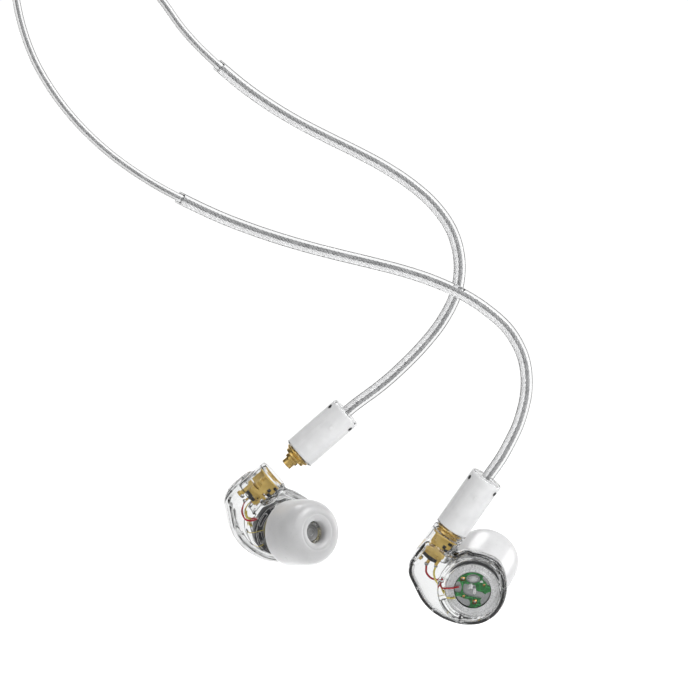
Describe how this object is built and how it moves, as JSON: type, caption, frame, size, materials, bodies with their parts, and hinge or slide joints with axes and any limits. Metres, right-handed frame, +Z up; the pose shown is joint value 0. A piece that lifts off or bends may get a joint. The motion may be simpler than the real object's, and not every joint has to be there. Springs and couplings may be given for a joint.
{
  "type": "in ear monitors",
  "caption": "In ear monitors with clear shells, silicone tips, detachable coaxial connectors and a clear cable with slider, split and headphone plug.",
  "frame": {"origin": "bottom centre of the box around the whole hanging set", "axes": "+Z up along the hanging cable, +X to the right seen from the front, +Y away from the front"},
  "size_m": [0.1182, 0.0248, 0.2202],
  "materials": {
    "clear_shell": "polished clear moulding",
    "clear_cover": "polished clear moulding",
    "clear_housing": "smooth clear moulding",
    "clear_jacket": "smooth flexible clear jacket",
    "clear_sleeve": "smooth flexible clear sleeve",
    "clear_slider": "smooth clear moulding",
    "clear_split": "smooth clear moulding",
    "screen_wire": "fine woven wire",
    "silicone": "translucent matt silicone",
    "driver_plastic": "matt black moulding",
    "magnet_steel": "plated steel",
    "membrane": "thin domed film",
    "grey_ring": "satin grey",
    "board": "green solder mask with copper pads",
    "can_steel": "drawn steel can",
    "gold": "gold plated satin",
    "black_insulator": "moulded black",
    "pale_insulator": "moulded pale",
    "red_wire": "enamelled wire",
    "yellow_wire": "enamelled wire",
    "white_core": "smooth white moulding",
    "conductor": "twisted silver-coloured strands"
  },
  "bodies": {
    "harness": {"y_split": "clear_split", "main_jacket": "clear_jacket", "main_wires": "conductor", "plug_housing": "clear_housing", "plug_sleeve_contact": "gold", "plug_contact_insulator": "black_insulator", "plug_ring_contact": "gold", "plug_tip_contact": "gold", "left_lead_jacket": "clear_jacket", "left_lead_wires": "conductor", "right_lead_jacket": "clear_jacket", "right_lead_wires": "conductor"},
    "slider": {"cable_slider": "clear_slider"},
    "left_lead": {"left_connector_shell": "clear_housing", "left_connector_core": "white_core", "left_plug_body": "gold", "left_plug_insulator": "pale_insulator", "left_plug_pin": "gold", "left_lead_sleeve": "clear_sleeve", "left_sleeve_wires": "conductor"},
    "left_lock_ring": {"left_lock_ring": "gold"},
    "left_earpiece": {"left_shell_body": "clear_shell", "left_face_cover": "clear_cover", "left_nozzle_screen": "screen_wire", "left_driver_basket": "driver_plastic", "left_magnet_cup": "magnet_steel", "left_diaphragm": "membrane", "left_back_ring": "grey_ring", "left_crossover_board": "board", "left_balanced_armature": "can_steel", "left_jack_body": "gold", "left_jack_insulator": "black_insulator", "left_jack_contact": "gold", "left_red_wire": "red_wire", "left_yellow_wire": "yellow_wire"},
    "left_tip": {"left_eartip": "silicone"},
    "right_lead": {"right_connector_shell": "clear_housing", "right_connector_core": "white_core", "right_plug_body": "gold", "right_plug_insulator": "pale_insulator", "right_plug_pin": "gold", "right_lead_sleeve": "clear_sleeve", "right_sleeve_wires": "conductor"},
    "right_lock_ring": {"right_lock_ring": "gold"},
    "right_earpiece": {"right_shell_body": "clear_shell", "right_face_cover": "clear_cover", "right_nozzle_screen": "screen_wire", "right_driver_basket": "driver_plastic", "right_magnet_cup": "magnet_steel", "right_diaphragm": "membrane", "right_back_ring": "grey_ring", "right_crossover_board": "board", "right_balanced_armature": "can_steel", "right_jack_body": "gold", "right_jack_insulator": "black_insulator", "right_jack_contact": "gold", "right_red_wire": "red_wire", "right_yellow_wire": "yellow_wire"},
    "right_tip": {"right_eartip": "silicone"}
  },
  "joints": [
    {"name": "left_lead_flex", "type": "hinge", "parent": "harness", "child": "left_lead", "pos_m": [-0.01585, -0.00271, 0.1075], "axis": [0, 1, 0], "range_deg": [-6, 6]},
    {"name": "left_swivel", "type": "hinge", "parent": "left_lead", "child": "left_lock_ring", "pos_m": [-0.00051, -0.00313, 0.03289], "axis": [0.7512, -0.0698, 0.6564], "continuous": true},
    {"name": "left_plug", "type": "slide", "parent": "left_lock_ring", "child": "left_earpiece", "axis": [0.7512, -0.0698, 0.6564], "range_m": [0, 0.0055]},
    {"name": "left_tip_pull", "type": "slide", "parent": "left_earpiece", "child": "left_tip", "axis": [0.6012, -0.7964, 0.0654], "range_m": [0, 0.007]},
    {"name": "right_lead_flex", "type": "hinge", "parent": "harness", "child": "right_lead", "pos_m": [-0.02335, -0.00301, 0.08209], "axis": [0, 1, 0], "range_deg": [-6, 6]},
    {"name": "right_swivel", "type": "hinge", "parent": "right_lead", "child": "right_lock_ring", "pos_m": [0.02876, -0.00279, 0.01837], "axis": [0.5607, -0.1737, 0.8096], "continuous": true},
    {"name": "right_plug", "type": "slide", "parent": "right_lock_ring", "child": "right_earpiece", "axis": [-0.5607, 0.1737, -0.8096], "range_m": [0, 0.006]},
    {"name": "right_tip_pull", "type": "slide", "parent": "right_earpiece", "child": "right_tip", "axis": [0.391, 0.7269, 0.5646], "range_m": [0, 0.007]},
    {"name": "slider_slide", "type": "slide", "parent": "harness", "child": "slider", "axis": [0, 0, 1], "range_m": [0, 0.014]}
  ]
}
